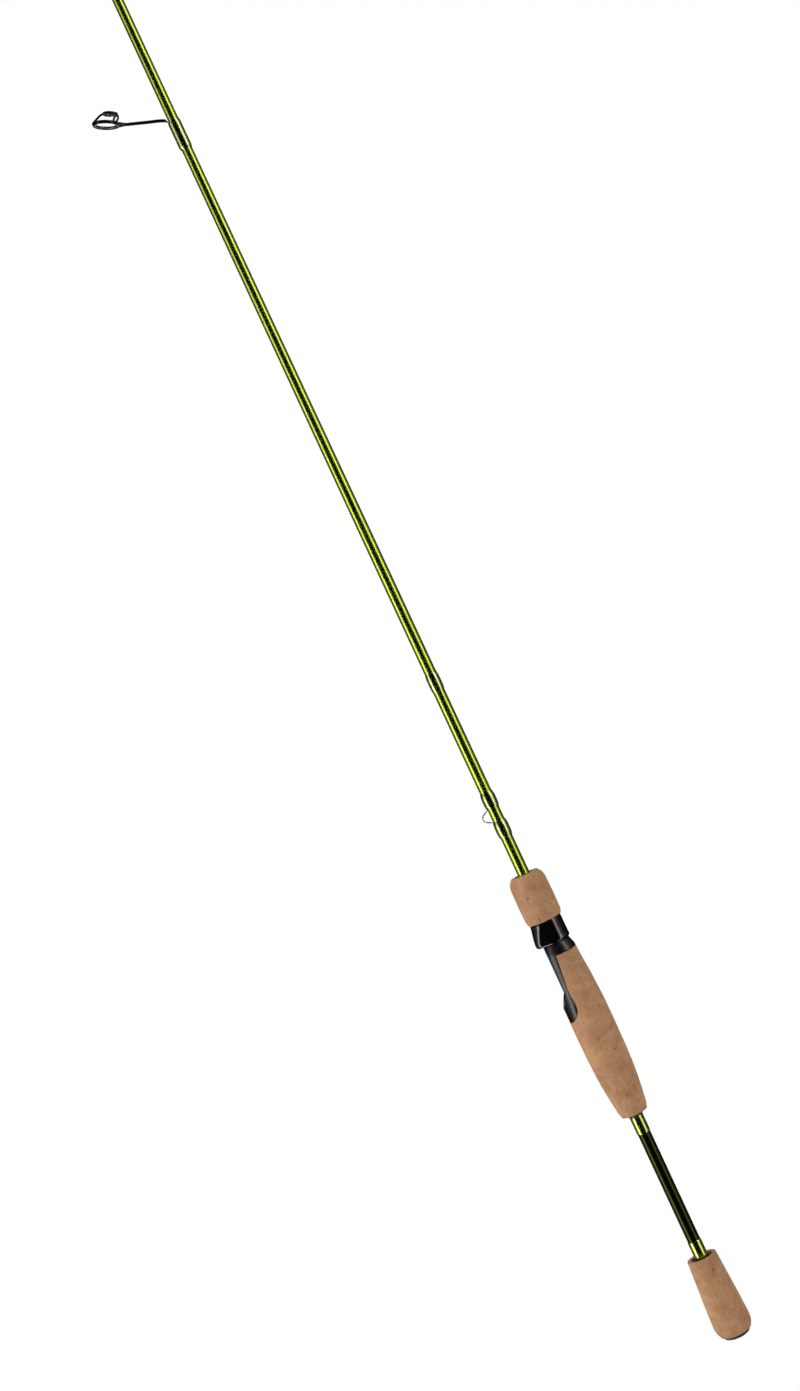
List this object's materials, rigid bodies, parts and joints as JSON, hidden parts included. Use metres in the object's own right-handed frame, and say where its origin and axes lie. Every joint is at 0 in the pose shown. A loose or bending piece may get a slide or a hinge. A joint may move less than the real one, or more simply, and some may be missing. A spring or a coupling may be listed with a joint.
{
  "type": "spinning rod",
  "caption": "Two-piece spinning rod with split cork handle, screw-down reel seat with sliding hood, hook keeper, leg-mounted line guides and tip ring.",
  "frame": {"origin": "centre of the flat end of the butt cap, on the rod's axis", "axes": "+Z along the rod from the butt to the tip; -X towards the guides and the reel; +Y completes the right-handed frame"},
  "size_m": [0.063, 0.0272, 1.9803],
  "materials": {
    "chartreuse_blank": "graphite tube under clear gloss metallic yellow-green lacquer; plain dark graphite between the grips",
    "chartreuse_trim": "gloss metallic yellow-green",
    "olive_winding": "thread winding under clear epoxy",
    "cork": "sanded natural cork, matt, with small dark pits",
    "seat_black": "satin black moulded graphite plastic",
    "hood_black": "high-gloss black",
    "rubber_black": "matt black rubber",
    "arbor_foam": "rigid foam, unfinished",
    "nut_black": "moulded plastic with an internal thread",
    "steel_wire": "polished stainless wire",
    "frame_black": "black plated stainless frame",
    "ring_ceramic": "polished dark ceramic ring"
  },
  "bodies": {
    "butt_section": {"butt_blank": "chartreuse_blank", "butt_cap": "rubber_black", "butt_grip_check": "rubber_black", "rear_grip_check": "rubber_black", "lower_trim_band": "chartreuse_trim", "upper_trim_band": "chartreuse_trim", "reel_seat": "seat_black", "hook_keeper": "steel_wire", "stripper_frame": "frame_black", "stripper_ring": "ring_ceramic", "choke_ring": "ring_ceramic", "keeper_rear_winding": "olive_winding", "keeper_front_winding": "olive_winding", "trim_winding": "olive_winding", "stripper_winding": "olive_winding", "seat_arbor_rear": "arbor_foam", "seat_arbor_middle": "arbor_foam", "seat_arbor_front": "arbor_foam", "butt_grip_cork_1": "cork", "butt_grip_cork_2": "cork", "butt_grip_cork_3": "cork", "butt_grip_cork_4": "cork", "rear_grip_cork_1": "cork", "rear_grip_cork_2": "cork", "rear_grip_cork_3": "cork", "rear_grip_cork_4": "cork", "rear_grip_cork_5": "cork", "rear_grip_cork_6": "cork", "rear_grip_cork_7": "cork", "rear_grip_cork_8": "cork", "rear_grip_cork_9": "cork"},
    "sliding_hood": {"sliding_hood": "hood_black"},
    "fore_grip": {"lock_nut": "nut_black", "fore_grip_cork_1": "cork", "fore_grip_cork_2": "cork", "fore_grip_cork_3": "cork"},
    "tip_section": {"tip_blank": "chartreuse_blank", "ferrule_winding": "olive_winding", "tip_top_frame": "frame_black", "tip_top_ring": "ring_ceramic", "tip_top_winding": "olive_winding", "guide_1_frame": "frame_black", "guide_1_ring": "ring_ceramic", "guide_1_winding": "olive_winding", "guide_2_frame": "frame_black", "guide_2_ring": "ring_ceramic", "guide_2_winding": "olive_winding", "guide_3_frame": "frame_black", "guide_3_ring": "ring_ceramic", "guide_3_winding": "olive_winding", "guide_4_frame": "frame_black", "guide_4_ring": "ring_ceramic", "guide_4_winding": "olive_winding", "guide_5_frame": "frame_black", "guide_5_ring": "ring_ceramic", "guide_5_winding": "olive_winding", "guide_6_frame": "frame_black", "guide_6_ring": "ring_ceramic", "guide_6_winding": "olive_winding"}
  },
  "joints": [
    {"name": "hood_slide", "type": "slide", "parent": "butt_section", "child": "sliding_hood", "axis": [0, 0, 1], "range_m": [0, 0.016]},
    {"name": "fore_grip_turn", "type": "hinge", "parent": "sliding_hood", "child": "fore_grip", "pos_m": [0, 0, 0.314], "axis": [0, 0, 1], "range_deg": [0, 2880]},
    {"name": "tip_section_slide", "type": "slide", "parent": "butt_section", "child": "tip_section", "axis": [0, 0, 1], "range_m": [0, 0.065]}
  ],
  "couplings": [
    {"joint": "hood_slide", "follows": "fore_grip_turn", "m_per_rad": 0.00031831}
  ]
}
